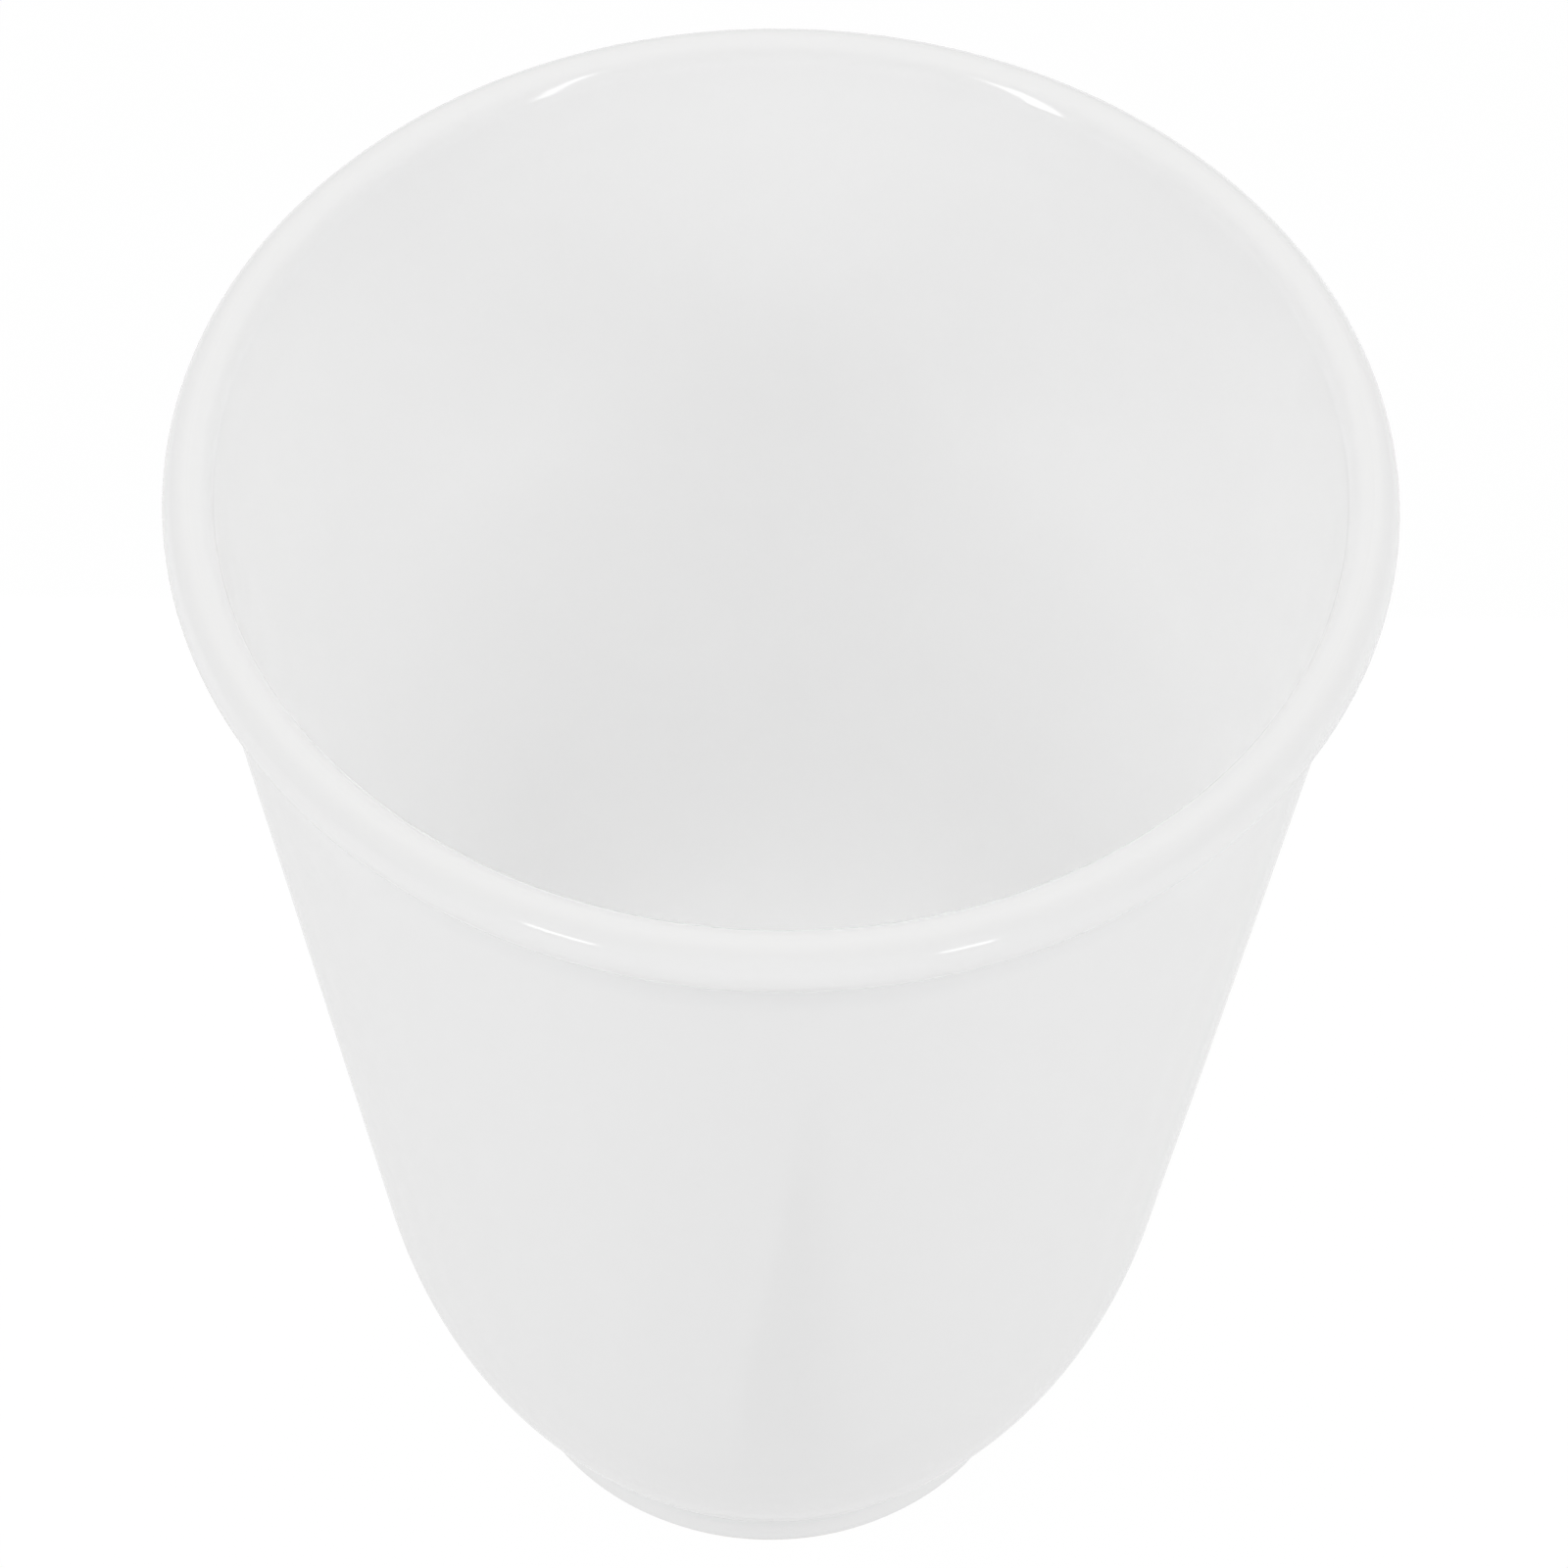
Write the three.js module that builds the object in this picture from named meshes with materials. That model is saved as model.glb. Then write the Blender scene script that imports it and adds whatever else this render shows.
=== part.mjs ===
// A deep steaming bowl of white glazed porcelain: a tapered body with a rolled rim and a foot ring,
// glazed inside, outside and under the base. Millimetres, +Z up, and the foot stands on z = 0.
// Every piece is turned about the Z axis from a profile of (radius, height) points.
import * as THREE from 'three';

// Driving dimensions of the finished bowl, measured over the glaze
const rimDiameter = 100;
const bowlHeight = 118;
const beadHeight = 5.4;
const beadOverhang = 2.2; // how far the rolled rim stands out past the wall
const wallThickness = 2.6;
const shoulderDiameter = 67.6; // the straight wall's lower end, outside
const shoulderHeight = 30.6;
const insideTurnHeight = 42; // where the inside wall begins to round in
const floorDiameter = 22; // the flat middle of the inside floor
const floorThickness = 4.3;
const footDiameter = 45.2; // at the crease between the body and the foot
const footHeight = 4;
const footDraft = 0.5; // how far the foot leans in between its crease and the ground
const footWidth = 3.8;
const footChamfer = 0.4;
const recessDepth = 5.2; // the hollow under the base, inside the foot
const glazeThickness = 0.25;
const bareEdge = 0.8; // height of the foot's wiped edge, which has no glaze

// Facets
const sides = 48;
const beadSteps = 8;
const lipSteps = 4;
const turnSteps = 6;

const point = (radius, height) => new THREE.Vector2(radius, height);

// The straight wall runs from the crease under the rim to the shoulder
const crease = point(rimDiameter / 2 - beadOverhang, bowlHeight - beadHeight);
const shoulder = point(shoulderDiameter / 2, shoulderHeight);
const wallDown = shoulder.clone().sub(crease).normalize();
const wallInward = point(wallDown.y, -wallDown.x);
const insideOfCrease = crease.clone().addScaledVector(wallInward, wallThickness);
const floorHeight = recessDepth + floorThickness;

function insideWall(height) {
  const drop = (insideOfCrease.y - height) / -wallDown.y;
  return insideOfCrease.clone().addScaledVector(wallDown, drop);
}

// The rim's section is an upright ellipse that reaches the rim's diameter outside, the bowl's height on top
// and touches the inside wall's line, which gives its width
const beadRise = beadHeight / 2;
const beadReach = wallInward.dot(insideOfCrease)
  - wallInward.dot(point(rimDiameter / 2, bowlHeight - beadRise));
const beadHalfWidth = (beadReach ** 2 - (beadRise * wallInward.y) ** 2) / (-2 * beadReach * wallInward.x);
const beadCentre = point(rimDiameter / 2 - beadHalfWidth, bowlHeight - beadRise);

function beadArc(from, to, clockwise, steps) {
  const arc = new THREE.EllipseCurve(
    beadCentre.x, beadCentre.y, beadHalfWidth, beadRise, from, to, clockwise);
  return arc.getPoints(steps);
}

// Outer surface over the lip: from the top of the rim down to the crease, the shoulder and the foot
function outsideSurface() {
  const creaseAngle = -Math.acos(1 - beadOverhang / beadHalfWidth);
  const bead = beadArc(Math.PI / 2, creaseAngle, true, beadSteps);
  const footCrease = point(footDiameter / 2, footHeight);
  const chord = footCrease.clone().sub(shoulder);
  const handle = chord.lengthSq() / (2 * chord.dot(wallDown));
  const turnMiddle = shoulder.clone().addScaledVector(wallDown, handle);
  const turn = new THREE.QuadraticBezierCurve(shoulder, turnMiddle, footCrease).getPoints(turnSteps);
  const glazeEnd = point(footCrease.x - footDraft * (1 - bareEdge / footHeight), bareEdge);
  return { bead, turn, glazeEnd };
}

// Inner surface: from the middle of the floor, round the turn and up the wall to the lip
function insideSurface() {
  const floorMiddle = point(0, floorHeight);
  const floorEdge = point(floorDiameter / 2, floorHeight);
  const turn = new THREE.QuadraticBezierCurve(
    floorEdge, insideWall(floorHeight), insideWall(insideTurnHeight)).getPoints(turnSteps);
  const lipAngle = Math.atan2(beadRise * wallInward.y, beadHalfWidth * wallInward.x);
  const lip = beadArc(lipAngle, Math.PI / 2, true, lipSteps);
  return { floorMiddle, turn, lip };
}

// The porcelain's surface under a coat of glaze: the line moved to its right, with mitred corners
function under(coat, thickness) {
  const rightOf = coat.slice(1).map((end, i) => {
    const along = end.clone().sub(coat[i]).normalize();
    return point(along.y, -along.x);
  });
  return coat.map((corner, i) => {
    const before = rightOf[Math.max(i - 1, 0)];
    const after = rightOf[Math.min(i, rightOf.length - 1)];
    const mitre = before.clone().add(after).divideScalar(1 + before.dot(after));
    return corner.clone().addScaledVector(mitre, thickness);
  });
}

// A solid of revolution from a profile that starts and ends on the axis, or else closes on itself
function turned(name, profile, material) {
  const outward = THREE.ShapeUtils.isClockWise(profile) ? profile.toReversed() : profile;
  const closed = outward[0].x > 0 ? [...outward, outward[0]] : outward;
  const geometry = new THREE.LatheGeometry(closed, sides).rotateX(Math.PI / 2);
  const mesh = new THREE.Mesh(geometry, material);
  mesh.name = name;
  return mesh;
}

// The glazed surface in one line: floor, inside wall, lip, rim, outside wall, foot
const inside = insideSurface();
const outside = outsideSurface();
const insideCoat = [inside.floorMiddle, ...inside.turn, insideOfCrease, ...inside.lip];
const outsideCoat = [...outside.bead, ...outside.turn, outside.glazeEnd];
const coat = [...insideCoat, ...outsideCoat.slice(1)];
const core = under(coat, glazeThickness);
const lipTop = insideCoat.length - 1;
const insideSeam = coat.indexOf(insideOfCrease);
const outsideSeam = lipTop + beadSteps;
const footSeam = coat.length - 2;

// The hollow under the base: up the foot's inner side, then in to the middle
const recessRadius = footDiameter / 2 - footWidth;
const recessCoat = [point(recessRadius, bareEdge), point(recessRadius, recessDepth), point(0, recessDepth)];
const recessCore = under(recessCoat, glazeThickness);
const [recessEdge, recessCorner, recessMiddle] = recessCore;

function rimBead(porcelain) {
  return turned('rim_bead', core.slice(insideSeam, outsideSeam + 1), porcelain);
}

function bodyShell(porcelain) {
  const insideFace = core.slice(0, insideSeam + 1);
  const outsideFace = core.slice(outsideSeam, footSeam + 1);
  return turned('body_shell', [...insideFace, ...outsideFace, recessCorner, recessMiddle], porcelain);
}

function footRing(porcelain) {
  const outerSide = core.slice(footSeam);
  const outerGround = footDiameter / 2 - footDraft - glazeThickness;
  const sole = [
    point(outerGround, footChamfer),
    point(outerGround - footChamfer, 0),
    point(recessEdge.x + footChamfer, 0),
    point(recessEdge.x, footChamfer),
  ];
  return turned('foot_ring', [...outerSide, ...sole, recessEdge, recessCorner], porcelain);
}

function glazeCoat(name, surface, backing, glaze) {
  return turned(name, [...surface, ...backing.toReversed()], glaze);
}

const porcelain = new THREE.MeshStandardMaterial({ color: 0xece9e4, roughness: 0.6, metalness: 0 });
const glaze = new THREE.MeshStandardMaterial({ color: 0xe9e9e9, roughness: 0.1, metalness: 0 });

const bowl = new THREE.Group();
bowl.add(
  bodyShell(porcelain),
  rimBead(porcelain),
  footRing(porcelain),
  glazeCoat('inside_glaze', insideCoat, core.slice(0, lipTop + 1), glaze),
  glazeCoat('outside_glaze', outsideCoat, core.slice(lipTop), glaze),
  turned('recess_glaze', [...recessCore.toReversed(), ...recessCoat], glaze),
);

export default bowl;
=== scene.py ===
"""The looks of a deep steaming bowl of white glazed porcelain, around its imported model. Metres, +Z up."""
import math

import bpy
import numpy as np
from mathutils import Matrix, Vector


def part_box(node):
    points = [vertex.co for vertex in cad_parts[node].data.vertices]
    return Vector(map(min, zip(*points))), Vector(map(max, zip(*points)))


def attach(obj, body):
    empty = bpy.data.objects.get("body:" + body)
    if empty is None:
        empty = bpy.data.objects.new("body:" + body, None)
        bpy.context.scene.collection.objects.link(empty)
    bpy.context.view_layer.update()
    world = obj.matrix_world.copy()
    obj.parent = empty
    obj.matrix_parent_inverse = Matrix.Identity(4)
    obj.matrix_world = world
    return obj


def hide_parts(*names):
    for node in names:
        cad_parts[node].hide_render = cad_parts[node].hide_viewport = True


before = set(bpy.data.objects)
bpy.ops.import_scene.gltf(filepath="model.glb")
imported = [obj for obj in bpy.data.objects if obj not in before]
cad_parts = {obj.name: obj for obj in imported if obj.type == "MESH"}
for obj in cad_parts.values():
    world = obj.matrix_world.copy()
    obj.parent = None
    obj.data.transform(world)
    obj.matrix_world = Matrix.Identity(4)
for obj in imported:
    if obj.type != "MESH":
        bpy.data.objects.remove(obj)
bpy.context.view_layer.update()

# The body: a tapered wall that rounds into a thick floor, with a shallow hollow under it.
# White porcelain, formed in one piece in a plaster mould and fired once before it is glazed.
# All of it ends up under the glaze, whose outer face gives the sizes here.
mm = 0.001
glaze_thickness = 0.25 * mm
wall_thickness = 2.6 * mm
bead_height = 5.4 * mm
bead_overhang = 2.2 * mm
shoulder = np.array([33.8, 30.6]) * mm
foot_crease = np.array([22.6, 4.0]) * mm
foot_draft = 0.5 * mm
inside_turn_height = 42 * mm
floor_radius = 11 * mm
rim_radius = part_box("outside_glaze")[1].x
bowl_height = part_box("outside_glaze")[1].z
bare_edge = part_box("outside_glaze")[0].z
lip_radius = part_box("inside_glaze")[1].x
floor_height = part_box("inside_glaze")[0].z + glaze_thickness
recess_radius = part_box("recess_glaze")[1].x - glaze_thickness
recess_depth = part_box("recess_glaze")[1].z - glaze_thickness

crease = np.array([rim_radius - bead_overhang, bowl_height - bead_height])
wall_down = (shoulder - crease) / np.linalg.norm(shoulder - crease)
wall_inward = np.array([wall_down[1], -wall_down[0]])
inside_of_crease = crease + wall_inward * wall_thickness
bead_half = np.array([rim_radius - lip_radius, bead_height / 2])
bead_centre = np.array([lip_radius, bowl_height]) - [0, bead_half[1]]


def inside_wall(height):
    """The point of the straight inside wall at a height: the outside wall moved in by its thickness."""
    drop = (inside_of_crease[1] - height) / -wall_down[1]
    return inside_of_crease + wall_down * drop


def line(start, end, steps):
    """Evenly spaced points from start to end, both included."""
    share = np.linspace(0, 1, steps + 1)[:, None]
    return start + (np.asarray(end) - start) * share


def curve(start, corner, end, steps, share=1.0):
    """A quadratic curve from start, heading for corner, to end: (1-t)^2 start + 2t(1-t) corner + t^2 end.

    Only the given share of it is made, from its start.
    """
    t = np.linspace(0, share, steps + 1)[:, None]
    return (1 - t) ** 2 * start + 2 * t * (1 - t) * corner + t ** 2 * end


def bead_arc(start, end, steps):
    """Points on the rolled rim's upright ellipse, between two angles that count up from the outer side."""
    angle = np.linspace(start, end, steps + 1)[:, None]
    return bead_centre + bead_half * np.hstack([np.cos(angle), np.sin(angle)])


def pooled(before, after, steps):
    """The quadratic curve that fills the corner between two stretches.

    Its middle point is where the two would cross.
    """
    ahead = before[-1] - before[-2]
    back = after[0] - after[1]
    reach = np.linalg.solve(np.column_stack([ahead, -back]), after[0] - before[-1])
    return curve(before[-1], before[-1] + ahead * reach[0], after[0], steps)


def chained(*stretches):
    """Stretches of a profile in one line, with the point where two of them meet kept once."""
    return np.concatenate([stretches[0], *(stretch[1:] for stretch in stretches[1:])])


# The glazed face in one line: up the inside, over the lip, and down the outside to the foot's bare edge
lip_round = 1.7 * mm
lip_corner = inside_wall(bowl_height)
top_angle = math.pi / 2
pool_angle = math.radians(-64)
crease_pool = 1.3 * mm
foot_pool = 0.7 * mm
floor_edge = np.array([floor_radius, floor_height])
glaze_end = foot_crease - np.array([foot_draft, foot_crease[1]]) * (1 - bare_edge / foot_crease[1])
turn_chord = foot_crease - shoulder
turn_corner = shoulder + wall_down * (turn_chord @ turn_chord) / (2 * turn_chord @ wall_down)

inside_floor = line(np.array([0, floor_height]), floor_edge, 12)
inside_turn = curve(floor_edge, inside_wall(floor_height), inside_wall(inside_turn_height), 30)
inside_straight = line(inside_turn[-1], inside_of_crease, 36)
inside_edge = line(inside_of_crease, lip_corner + wall_down * lip_round, 4)
lip = curve(inside_edge[-1], lip_corner, lip_corner + np.array([lip_round, 0]), 12)
lip_flat = line(lip[-1], [lip_radius, bowl_height], 2)
bead = bead_arc(top_angle, pool_angle, 32)
outside_straight = line(crease + wall_down * crease_pool, shoulder, 40)
outside_turn = curve(shoulder, turn_corner, foot_crease, 30, share=0.975)
foot_side = line(foot_crease + (glaze_end - foot_crease) * foot_pool / foot_crease[1], glaze_end, 6)
pool_steps = 10

inside_face = chained(inside_floor, inside_turn, inside_straight, inside_edge, lip, lip_flat)
outside_face = chained(bead, pooled(bead, outside_straight, pool_steps), outside_straight, outside_turn,
                       pooled(outside_turn, foot_side, pool_steps), foot_side)
face = chained(inside_face, outside_face)
lip_top = len(inside_face) - 1
inside_joint = len(inside_floor) + len(inside_turn) + len(inside_straight) - 3
outside_joint = lip_top + len(bead) - 1 + pool_steps // 2
foot_joint = len(face) - len(foot_side) - pool_steps // 2


def under(profile):
    """The porcelain's face under a coat: each point moved by the glaze's thickness, square to the line."""
    along = np.gradient(profile, axis=0)
    along = along / np.linalg.norm(along, axis=1, keepdims=True)
    return profile + glaze_thickness * np.column_stack([along[:, 1], -along[:, 0]])


core = under(face)
recess_corner = np.array([recess_radius + glaze_thickness, recess_depth + glaze_thickness])
around = 192
round_angle = np.linspace(0, 2 * np.pi, around, endpoint=False)


def turned(name, profile):
    """A solid of revolution: point i of the profile stands at angle j as (radius cos, radius sin, height).

    The profile is (point, radius and height), or (point, angle, radius and height) where it isn't quite
    round. One that starts on the axis ends on it and has a vertex at each pole, and any other closes on
    itself.
    """
    rows = profile if profile.ndim == 3 else np.repeat(profile[:, None], around, axis=1)
    radius, height = rows[..., 0], rows[..., 1]
    grid = np.stack([radius * np.cos(round_angle), radius * np.sin(round_angle), height], axis=-1)
    has_poles = radius[0, 0] == 0
    rings = grid[1:-1] if has_poles else grid
    poles = grid[[0, -1], 0] if has_poles else np.empty((0, 3))
    index = np.arange(len(rings) * around).reshape(-1, around)
    upper = index[:-1] if has_poles else index
    lower = index[1:] if has_poles else np.roll(index, -1, axis=0)
    quads = np.stack([upper, lower, np.roll(lower, -1, axis=1), np.roll(upper, -1, axis=1)], axis=-1)
    faces = quads.reshape(-1, 4).tolist()
    if has_poles:
        first, last = np.full(around, index.size), np.full(around, index.size + 1)
        faces += np.column_stack([first, index[0], np.roll(index[0], -1)]).tolist()
        faces += np.column_stack([index[-1], last, np.roll(index[-1], -1)]).tolist()
    mesh = bpy.data.meshes.new(name)
    mesh.from_pydata(np.concatenate([rings.reshape(-1, 3), poles]).tolist(), [], faces)
    mesh.polygons.foreach_set("use_smooth", np.ones(len(faces), bool))
    mesh.set_sharp_from_angle(angle=math.radians(40))
    piece = bpy.data.objects.new(name, mesh)
    bpy.context.scene.collection.objects.link(piece)
    return piece


class Wire:
    """An output of a material's node.

    Arithmetic on wires adds Math nodes, and node() adds any other node.
    """

    def __init__(self, tree, socket=None):
        self.tree = tree
        self.socket = socket

    def node(self, kind, settings, inputs, output=None):
        """Adds a node with these settings and with a value or a wire for each input named.

        Returns the output of that name, or else the first one.
        """
        added = self.tree.nodes.new(kind)
        for name, value in settings.items():
            if name == "stops":
                self.set_stops(added.color_ramp.elements, value)
            else:
                setattr(added, name, value)
        sockets = {socket.identifier: socket for socket in added.inputs}
        for name, value in inputs.items():
            if isinstance(value, Wire):
                self.tree.links.new(value.socket, sockets[name])
            else:
                sockets[name].default_value = value
        outputs = {socket.identifier: socket for socket in added.outputs}
        return Wire(self.tree, outputs[output] if output else next(iter(outputs.values()), None))

    @staticmethod
    def set_stops(elements, stops):
        """Gives a ramp's elements these positions and colours, and adds those that it lacks."""
        while len(elements) < len(stops):
            elements.new(1.0)
        for element, (position, colour) in zip(elements, stops):
            element.position = position
            element.color = colour

    def maths(self, operation, left, right):
        """Adds a Math node with an operation on two values or wires."""
        return self.node("ShaderNodeMath", {"operation": operation}, {"Value": left, "Value_001": right})

    def __add__(self, other):
        return self.maths("ADD", self, other)

    def __sub__(self, other):
        return self.maths("SUBTRACT", self, other)

    def __rsub__(self, other):
        return self.maths("SUBTRACT", other, self)

    def __mul__(self, other):
        return self.maths("MULTIPLY", self, other)

    __radd__ = __add__
    __rmul__ = __mul__


def shaded(piece, name):
    """Gives a piece an empty material, and returns the start of its nodes."""
    material = bpy.data.materials.new(name)
    material.use_nodes = True
    material.node_tree.nodes.clear()
    piece.data.materials.append(material)
    return Wire(material.node_tree)


def noise(start, size, detail=2.0):
    """Cloudy values from 0 to 1 in the piece's own space, whose lumps are about size across."""
    place = start.node("ShaderNodeTexCoord", {}, {}, "Object")
    return start.node("ShaderNodeTexNoise", {}, {"Vector": place, "Scale": 1 / size, "Detail": detail})


def finish(start, colour, roughness, height, relief):
    """A porcelain surface: its colour and roughness, and a height from 0 to 1 as a relief of that depth."""
    normal = start.node("ShaderNodeBump", {}, {"Height": height, "Strength": 1.0, "Distance": relief})
    shader = start.node("ShaderNodeBsdfPrincipled", {}, {
        "Base Color": colour, "Roughness": roughness, "IOR": 1.5, "Normal": normal})
    start.node("ShaderNodeOutputMaterial", {}, {"Surface": shader})


def fired_porcelain(piece):
    """White porcelain without its glaze: matt, with a fine sandy grain and a faint cloudiness."""
    start = shaded(piece, "fired_porcelain")
    clouds = noise(start, 18 * mm)
    grain = noise(start, 0.4 * mm, detail=4.0)
    colour = start.node("ShaderNodeValToRGB", {"stops": [
        (0.3, (0.80, 0.79, 0.77, 1)), (0.7, (0.86, 0.85, 0.83, 1))]}, {"Fac": clouds})
    finish(start, colour, 0.55 + 0.15 * grain, grain, 0.03 * mm)


body = turned("bowl_body", np.vstack([core[:inside_joint + 1], core[outside_joint:foot_joint + 1],
                                      recess_corner, [0, recess_corner[1]]]))
fired_porcelain(body)
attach(body, "root")
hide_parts("body_shell")

# The rim: a bead along the top edge, which thickens it and keeps it true in the kiln.
# The same porcelain as the body, rolled over outwards while it is soft, so it stands on the wall.
rim = turned("bowl_rim", core[inside_joint:outside_joint + 1])
fired_porcelain(rim)
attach(rim, "root")
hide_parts("rim_bead")

# The foot: a low ring that the bowl stands on, joined under the body with slip.
# Its sole and lowest edge are wiped bare before the last firing, so that it can't stick to the kiln shelf,
# and come out matt, warmer than the glaze and a little scuffed.
sole_round = 0.4 * mm
sole_outer = foot_crease[0] - foot_draft - glaze_thickness
sole_inner = recess_corner[0]


def quarter(centre, start, steps=6):
    """A quarter of a circle with the sole's rounding as its radius, turning down and in from an angle."""
    angle = np.linspace(start, start - math.pi / 2, steps + 1)[:, None]
    return centre + sole_round * np.hstack([np.cos(angle), np.sin(angle)])


sole = np.vstack([quarter(np.array([sole_outer - sole_round, sole_round]), 0.0),
                  quarter(np.array([sole_inner + sole_round, sole_round]), -math.pi / 2)])
foot = turned("bowl_foot", np.vstack([core[foot_joint:], sole, [sole_inner, bare_edge], recess_corner]))


def bare_porcelain(piece):
    """The wiped foot: grainy bone white, with a warm blush where the glaze ends, and worn specks."""
    start = shaded(piece, "bare_porcelain")
    clouds = noise(start, 6 * mm)
    grain = noise(start, 0.25 * mm, detail=5.0)
    place = start.node("ShaderNodeTexCoord", {}, {}, "Object")
    height = start.node("ShaderNodeSeparateXYZ", {}, {"Vector": place}, "Z")
    blush = start.node("ShaderNodeMapRange", {"interpolation_type": "SMOOTHSTEP"}, {
        "Value": height + 0.3 * mm * clouds, "From Min": 0.5 * mm, "From Max": 1.0 * mm})
    scuff = start.node("ShaderNodeMapRange", {"interpolation_type": "SMOOTHSTEP"}, {
        "Value": grain, "From Min": 0.62, "From Max": 0.72})
    bone = start.node("ShaderNodeValToRGB", {"stops": [
        (0.3, (0.74, 0.71, 0.66, 1)), (0.7, (0.82, 0.80, 0.76, 1))]}, {"Fac": clouds})
    blushed = start.node("ShaderNodeMix", {"data_type": "RGBA"}, {
        "Factor_Float": 0.6 * blush, "A_Color": bone, "B_Color": (0.78, 0.66, 0.54, 1)}, "Result_Color")
    colour = start.node("ShaderNodeMix", {"data_type": "RGBA"}, {
        "Factor_Float": 0.35 * scuff, "A_Color": blushed, "B_Color": (0.52, 0.49, 0.45, 1)}, "Result_Color")
    finish(start, colour, 0.6 + 0.2 * grain, grain, 0.05 * mm)


bare_porcelain(foot)
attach(foot, "root")
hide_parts("foot_ring")

# The glaze inside: a glossy white glass, poured in and swirled round, then poured out again.
# It runs from the middle of the floor to the top of the lip, thin over the lip and deeper on the floor.
wave_depth = 0.04 * mm
wave_rise = 10 * mm
# Each wave's crests round the bowl, its lean in radians for each wave_rise, its start and its share
glaze_waves = ((3, 0.9, 0, 1.0), (5, -1.3, 1, 0.7), (8, 2.1, 2, 0.5))


def wavy(profile):
    """A glazed face with the slow waves that molten glass sets in, at most wave_depth into the coat.

    The face sinks by the sum of share sin(crests angle + lean rise + start), moved up to run from 0 to
    wave_depth. The waves run round the bowl, lean up it and fade out towards the axis.
    """
    along = np.gradient(profile, axis=0)
    along = along / np.linalg.norm(along, axis=1, keepdims=True)
    inward = np.column_stack([along[:, 1], -along[:, 0]])
    rise = profile[:, 1:] / wave_rise
    swell = sum(share * np.sin(crests * round_angle + lean * rise + start)
                for crests, lean, start, share in glaze_waves)
    highest = sum(share for _, _, _, share in glaze_waves)
    fade = np.clip(profile[:, :1] / floor_radius, 0, 1)
    sink = wave_depth * fade * (0.5 + 0.5 * swell / highest)
    return profile[:, None] + inward[:, None] * sink[..., None]


def near(profile, place, reach):
    """exp(-(d / reach)^2) for each point of a profile, where d is its distance from a place."""
    distance = np.linalg.norm(profile - place, axis=1)
    return np.exp(-(distance / reach) ** 2)


# Where the coat is deeper or thinner: under the rim, above the foot, at its end and on the lip.
# Under the rim and at the foot's crease this greying is partly pooled glaze and partly painted shade;
# the spot under the rim sits down the wall, where the rim's shadow falls.
lip_point = np.array([lip_radius, bowl_height])
pool_and_painted_shade_point = crease + wall_down * 1.9 * mm
depth = (0.8 * near(face, pool_and_painted_shade_point, 2.0 * mm) + 0.8 * near(face, foot_crease, 0.9 * mm)
         + 0.5 * near(face, glaze_end, 0.5 * mm) - near(face, lip_point, 1.6 * mm))
# Spoons wear the inside, from just below the lip
worn_from, worn_fully = 1.0 * mm, 2.5 * mm
wear = np.clip((bowl_height - face[:, 1] - worn_from) / (worn_fully - worn_from), 0, 1)
waves = wavy(face)
core_rows = np.repeat(core[:, None], around, axis=1)


def keep(piece, name, rows):
    """Keeps a value for each ring of a coat's face, which comes first, and 0 for the rest of the coat."""
    values = np.zeros(len(piece.data.vertices))
    values[:len(rows) * around] = np.repeat(rows, around)
    piece.data.attributes.new(name, "FLOAT", "POINT").data.foreach_set("value", values)


thin_white = (0.86, 0.858, 0.855, 1)
full_white = (0.88, 0.88, 0.88, 1)
# The grey of pooled glaze, which is also painted shade under the rim and in the foot's crease
pooled_and_painted_shade_white = (0.84, 0.843, 0.846, 1)
gloss, smear_share, wear_share = 0.05, 0.06, 0.16
peel_depth = 0.004 * mm


def white_glaze(piece, name):
    """White gloss glaze with a soft orange peel, duller where spoons have worn it.

    Its depth is below 0 where it is thin and the porcelain shows, and above 0 where it pools and greys;
    under the rim and in the foot's crease that grey is also painted shade.
    """
    start = shaded(piece, name)
    depth_and_painted_shade = start.node("ShaderNodeAttribute", {"attribute_name": "glaze_depth"}, {}, "Fac")
    worn = start.node("ShaderNodeAttribute", {"attribute_name": "glaze_wear"}, {}, "Fac")
    clouds = noise(start, 30 * mm)
    peel = noise(start, 2.6 * mm, detail=1.0)
    smears = noise(start, 9 * mm, detail=3.0)
    colour = start.node("ShaderNodeValToRGB", {"stops": [
        (0.0, thin_white), (0.46, full_white), (0.54, full_white), (1.0, pooled_and_painted_shade_white)]}, {
        "Fac": 0.5 + 0.5 * depth_and_painted_shade + 0.06 * (clouds - 0.5)})
    finish(start, colour, gloss + smear_share * smears + wear_share * worn, peel, peel_depth)


inside_rows = np.concatenate([waves[:lip_top + 1], core_rows[lip_top::-1]])
inside_glaze = turned("bowl_inside_glaze", inside_rows)
keep(inside_glaze, "glaze_depth", depth[1:lip_top + 1])
keep(inside_glaze, "glaze_wear", wear[1:lip_top + 1])
white_glaze(inside_glaze, "inside_white_glaze")
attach(inside_glaze, "root")
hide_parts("inside_glaze")

# The glaze outside: the same white glass, from dipping the bowl upside down.
# It meets the inside coat on the lip, pools under the rim and above the foot, and ends at the wiped edge.
# Its greying under the rim and in the foot's crease is partly painted shade.
outside_rows = np.concatenate([waves[lip_top:], core_rows[:lip_top - 1:-1]])
outside_glaze = turned("bowl_outside_glaze", outside_rows)
keep(outside_glaze, "glaze_depth", depth[lip_top:])
white_glaze(outside_glaze, "outside_white_glaze")
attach(outside_glaze, "root")
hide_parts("outside_glaze")

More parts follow.
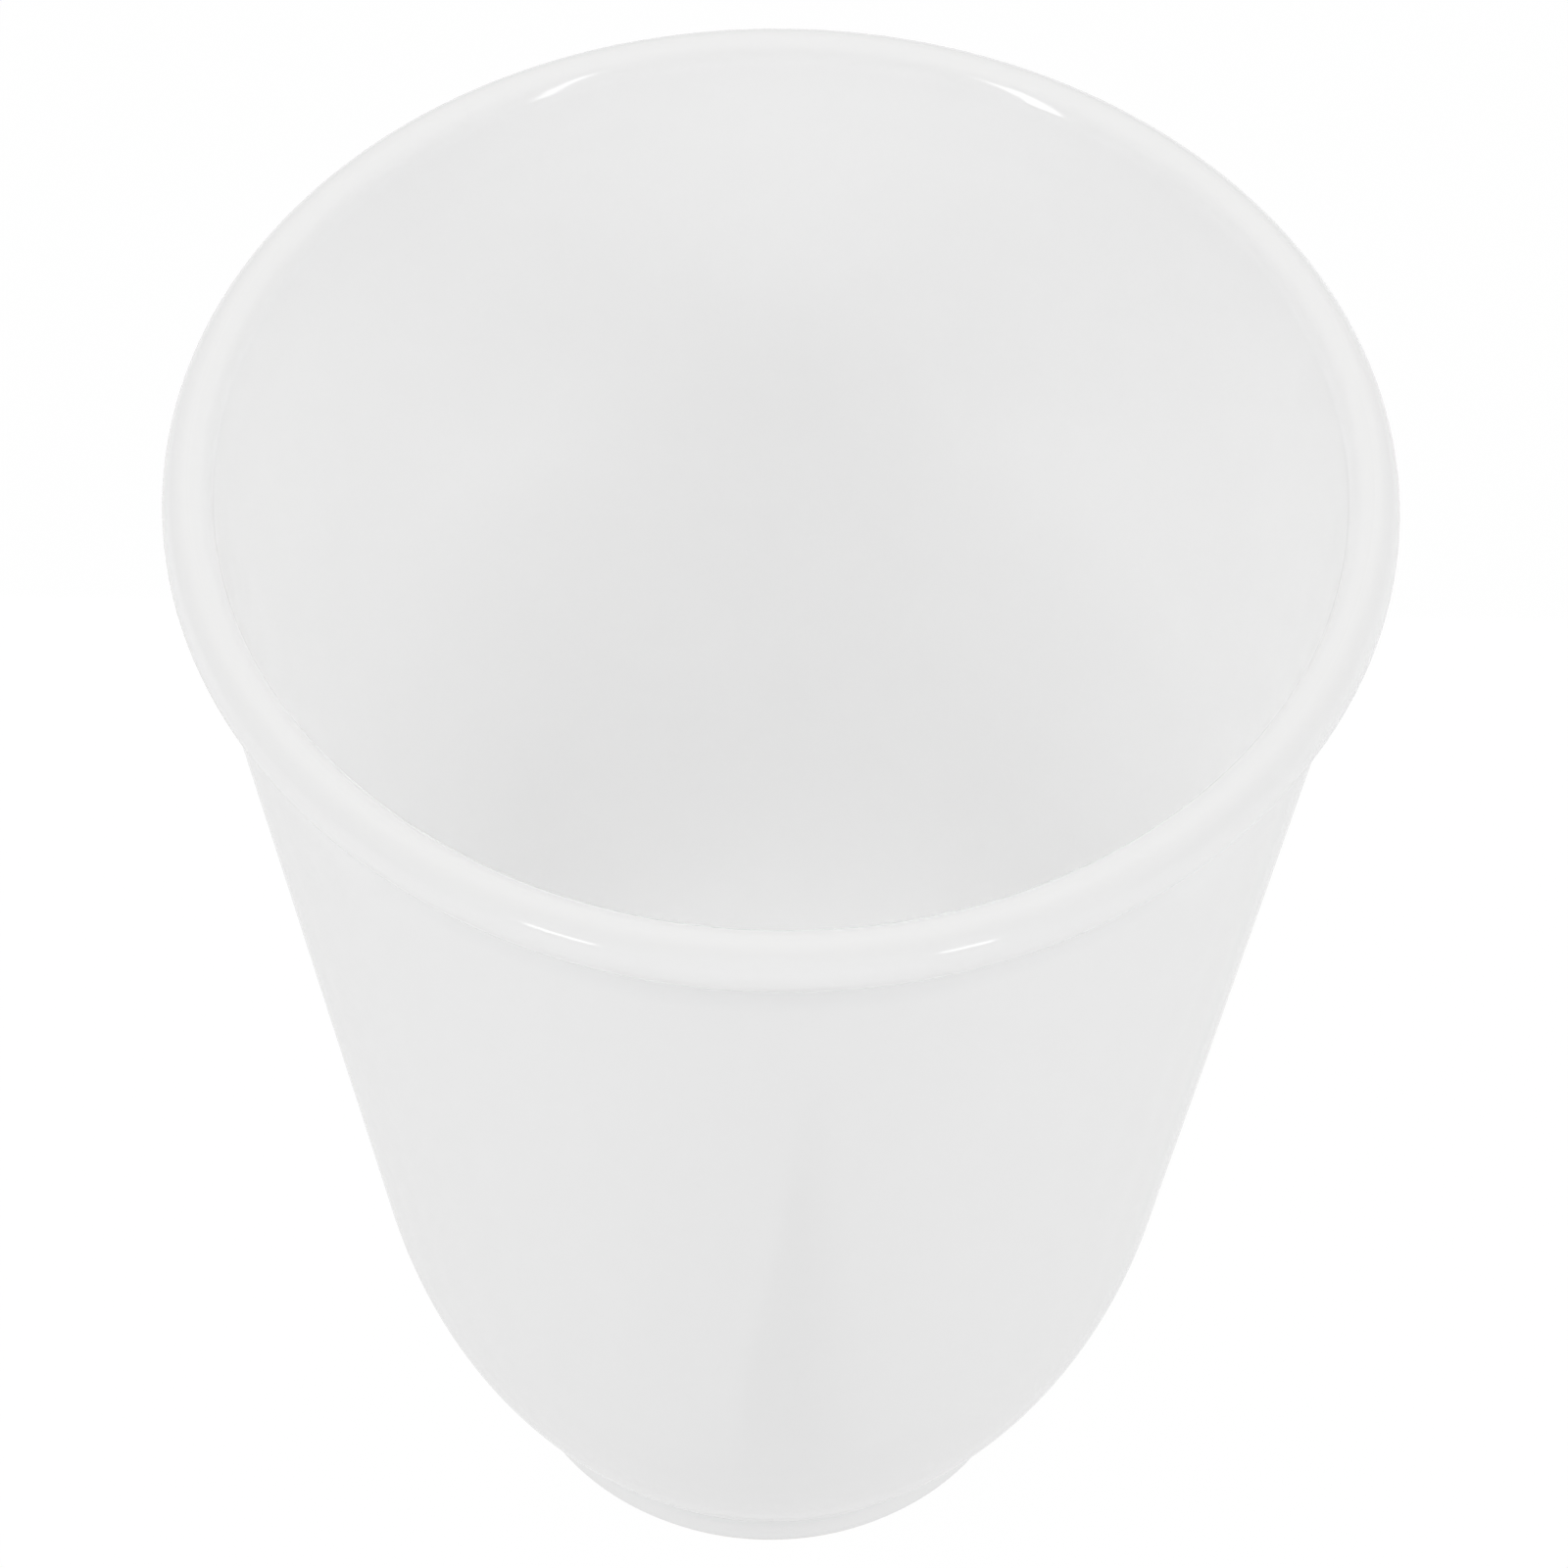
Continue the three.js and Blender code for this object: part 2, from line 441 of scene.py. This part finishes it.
# The glaze under the base: a separate patch inside the foot, cut off from the rest by the bare edge.
# It lies over the faint rings that the turning tool left there, and pools in the corner.
ring_pitch = 1.7 * mm
ring_depth = 0.03 * mm
recess_pool = 1.5 * mm
recess_side = line(np.array([recess_radius, bare_edge]), [recess_radius, recess_depth - recess_pool], 6)
recess_top = line(np.array([recess_radius - recess_pool, recess_depth]), [0, recess_depth], 90)
recess_top[:, 1] += ring_depth * (0.5 - 0.5 * np.cos(2 * np.pi * recess_top[:, 0] / ring_pitch))
recess_face = chained(recess_side, pooled(recess_side, recess_top, pool_steps), recess_top)
recess_back = np.array([[0, recess_corner[1]], recess_corner, [recess_corner[0], bare_edge]])
recess_glaze = turned("bowl_recess_glaze", np.vstack([recess_back, recess_face]))
white_glaze(recess_glaze, "recess_white_glaze")
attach(recess_glaze, "root")
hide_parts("recess_glaze")

# The place: a wide pale floor that keeps a trace of the bowl's shadow, under an even white sky.
# A straight look sees either of them plain white, and a mirrored look sees only a share of that.
floor_half = 6.0
floor_white, floor_mirrored = 0.97, 0.3
sky_level, sky_mirrored = 0.458, 0.5


def level_square(name, half, height):
    """A flat square that lies level at a height, with its sides half away from the axis."""
    mesh = bpy.data.meshes.new(name)
    corners = [(-half, -half, height), (half, -half, height), (half, half, height), (-half, half, height)]
    mesh.from_pydata(corners, [], [(0, 1, 2, 3)])
    square = bpy.data.objects.new(name, mesh)
    bpy.context.scene.collection.objects.link(square)
    return square


floor = level_square("floor", floor_half, 0)


def seen(start, mirrored):
    """1 for a ray from the camera or through glass, a share for a mirrored ray, and 0 for the rest."""
    straight = start.node("ShaderNodeLightPath", {}, {}, "Is Camera Ray")
    glossy = start.node("ShaderNodeLightPath", {}, {}, "Is Glossy Ray")
    through = start.node("ShaderNodeLightPath", {}, {}, "Is Transmission Ray")
    return straight + mirrored * glossy + through


floor_start = shaded(floor, "pale_floor")
pale = floor_start.node("ShaderNodeBsdfDiffuse", {}, {"Color": (0.9, 0.9, 0.9, 1)})
white = floor_start.node("ShaderNodeEmission", {}, {"Color": (1, 1, 1, 1), "Strength": 1.0})
lit = floor_start.node("ShaderNodeMixShader", {}, {
    "Fac": floor_white * seen(floor_start, floor_mirrored), "Shader": pale, "Shader_001": white})
floor_start.node("ShaderNodeOutputMaterial", {}, {"Surface": lit})

# A glowing pale card lies on the floor, hidden from the camera, and lights the bowl from below.
# The front wall mirrors a greyer stripe on it as a darker band: sharp on the left, soft on the right and
# narrower away from the bowl.
card_half = 84 * mm
card_lift = 0.2 * mm
card_level, stripe_darker = 0.849, 0.2
card = level_square("pale_card", card_half, card_lift)
card.visible_camera = False
card.visible_shadow = False
card_start = shaded(card, "pale_card")
card_place = card_start.node("ShaderNodeTexCoord", {}, {}, "Object")
card_across = card_start.node("ShaderNodeSeparateXYZ", {}, {"Vector": card_place}, "X")
card_along = card_start.node("ShaderNodeSeparateXYZ", {}, {"Vector": card_place}, "Y")


def step(value, low, high):
    """0 below low and 1 above high, with a smooth rise between them."""
    return card_start.node("ShaderNodeMapRange", {"interpolation_type": "SMOOTHSTEP"}, {
        "Value": value, "From Min": low, "From Max": high})


# Each edge of the stripe begins at its first value and is complete at its second
stripe_left = -4.5 * mm, -3.5 * mm
stripe_right = 6 * mm, 19 * mm
stripe_outer = -78 * mm, -66 * mm
stripe_inner = -52 * mm, -30 * mm
lean_from = -50 * mm
lean = 0.5 * card_start.maths("MINIMUM", card_along - lean_from, 0.0)
stripe = (step(card_across + lean, *stripe_left) * (1 - step(card_across, *stripe_right))
          * step(card_along, *stripe_outer) * (1 - step(card_along, *stripe_inner)))
card_glow = card_start.node("ShaderNodeEmission", {}, {
    "Color": card_level - stripe_darker * stripe, "Strength": 1.0})
card_start.node("ShaderNodeOutputMaterial", {}, {"Surface": card_glow})

world = bpy.data.worlds.new("white_sky")
world.use_nodes = True
world.node_tree.nodes.clear()
bpy.context.scene.world = world
sky = Wire(world.node_tree)
level = sky.node("ShaderNodeBackground", {}, {"Color": (1, 1, 1, 1), "Strength": sky_level})
plain = sky.node("ShaderNodeBackground", {}, {"Color": (1, 1, 1, 1), "Strength": 1.0})
mixed = sky.node("ShaderNodeMixShader", {}, {
    "Fac": seen(sky, sky_mirrored), "Shader": level, "Shader_001": plain})
sky.node("ShaderNodeOutputWorld", {}, {"Surface": mixed})

# The lamps: soft boxes in front, at the sides, behind and low down, spots from above that shine only into
# the bowl, and narrow windows that only glint on the rim, two on its inside and two on its outside.
middle = Vector((0, 0, bowl_height / 2))
mouth = Vector((0, 0, bowl_height))


def hung(name, light, azimuth, elevation, distance, target):
    """A light that faces a target. Its azimuth counts from the front to the right, in degrees."""
    turn, tilt = math.radians(azimuth), math.radians(elevation)
    out = Vector((math.sin(turn) * math.cos(tilt), -math.cos(turn) * math.cos(tilt), math.sin(tilt)))
    place = bpy.data.objects.new(name, light)
    place.location = target + out * distance
    place.rotation_euler = out.to_track_quat("Z", "Y").to_euler()
    bpy.context.scene.collection.objects.link(place)
    return place


def panel(name, width, height, radiance):
    """A flat rectangular light that is equally bright all over."""
    light = bpy.data.lights.new(name, "AREA")
    light.shape = "RECTANGLE"
    light.size = width
    light.size_y = height
    light.energy = radiance * math.pi * width * height
    return light


# Each soft box's azimuth, elevation and radiance
soft_distance = 0.8
soft_width = 0.31
soft_boxes = {"front": (0, 40, 2.66), "left_side": (-70, 40, 3.21), "right_side": (70, 40, 3.1),
              "left_back": (-150, 40, 3.69), "right_back": (150, 40, 3.69),
              "left_front_low": (-45, 20, 1.64), "right_front_low": (45, 20, 1.64),
              "left_low": (-90, 20, 0.73), "right_low": (90, 20, 0.73)}
for name, (azimuth, elevation, radiance) in soft_boxes.items():
    light = panel(name, soft_width, soft_width, radiance)
    box = hung(name, light, azimuth, elevation, soft_distance, middle)
    box.visible_glossy = False

# For each coat, its windows' elevation and height, and the azimuth and width of the left and the right one
window_distance = 0.5
window_radiance = 5.0
windows = ((inside_glaze, 30, 0.5, (-46, 0.06), (43, 0.035)),
           (outside_glaze, 12, 0.06, (-31.5, 0.092), (28.5, 0.07)))
for coat, elevation, height, left, right in windows:
    glinting = bpy.data.collections.new(coat.name + "_glints")
    glinting.objects.link(coat)
    for name, (azimuth, width) in (("left_window", left), ("right_window", right)):
        light = panel(name, width, height, window_radiance)
        window = hung(name, light, azimuth, elevation, window_distance, middle)
        window.light_linking.receiver_collection = glinting
        window.visible_diffuse = False

# Each spot's azimuth, elevation, reach at the mouth and energy
spot_distance = 0.8
spot_blend = 0.6
spot_softness = 0.01
spots = {"left_spot": (-90, 80, 40 * mm, 6.7), "right_spot": (90, 80, 40 * mm, 4.0),
         "left_low_spot": (-90, 68, 30 * mm, 2.9), "right_low_spot": (90, 68, 30 * mm, 3.6),
         "front_spot": (0, 70, 24 * mm, 4.0)}
for name, (azimuth, elevation, reach, energy) in spots.items():
    spot_light = bpy.data.lights.new(name, "SPOT")
    spot_light.spot_size = 2 * math.atan(reach / spot_distance)
    spot_light.spot_blend = spot_blend
    spot_light.shadow_soft_size = spot_softness
    spot_light.energy = energy
    spot = hung(name, spot_light, azimuth, elevation, spot_distance, mouth)
    spot.visible_glossy = False

# Light bounces many times inside a white bowl
bpy.context.scene.cycles.diffuse_bounces = 16
bpy.context.scene.cycles.max_bounces = 18

# The camera: a long lens, above and in front, rolled a little.
# It stands where the outline of a round bowl fits the picture best.
camera_pitch = math.radians(51.14)
camera_roll = math.radians(0.89)
camera_distance = 0.9785
camera_aim = Vector((0.0006, 0, 0.0782))
camera_data = bpy.data.cameras.new("camera")
camera_data.lens = 270
camera_data.sensor_width = 36
camera = bpy.data.objects.new("camera", camera_data)
look = Vector((0, math.cos(camera_pitch), -math.sin(camera_pitch)))
camera.matrix_world = (Matrix.Translation(camera_aim - look * camera_distance)
                       @ Matrix.Rotation(math.pi / 2 - camera_pitch, 4, "X")
                       @ Matrix.Rotation(camera_roll, 4, "Z"))
bpy.context.scene.collection.objects.link(camera)
bpy.context.scene.camera = camera
bpy.context.scene.view_settings.view_transform = "Standard"
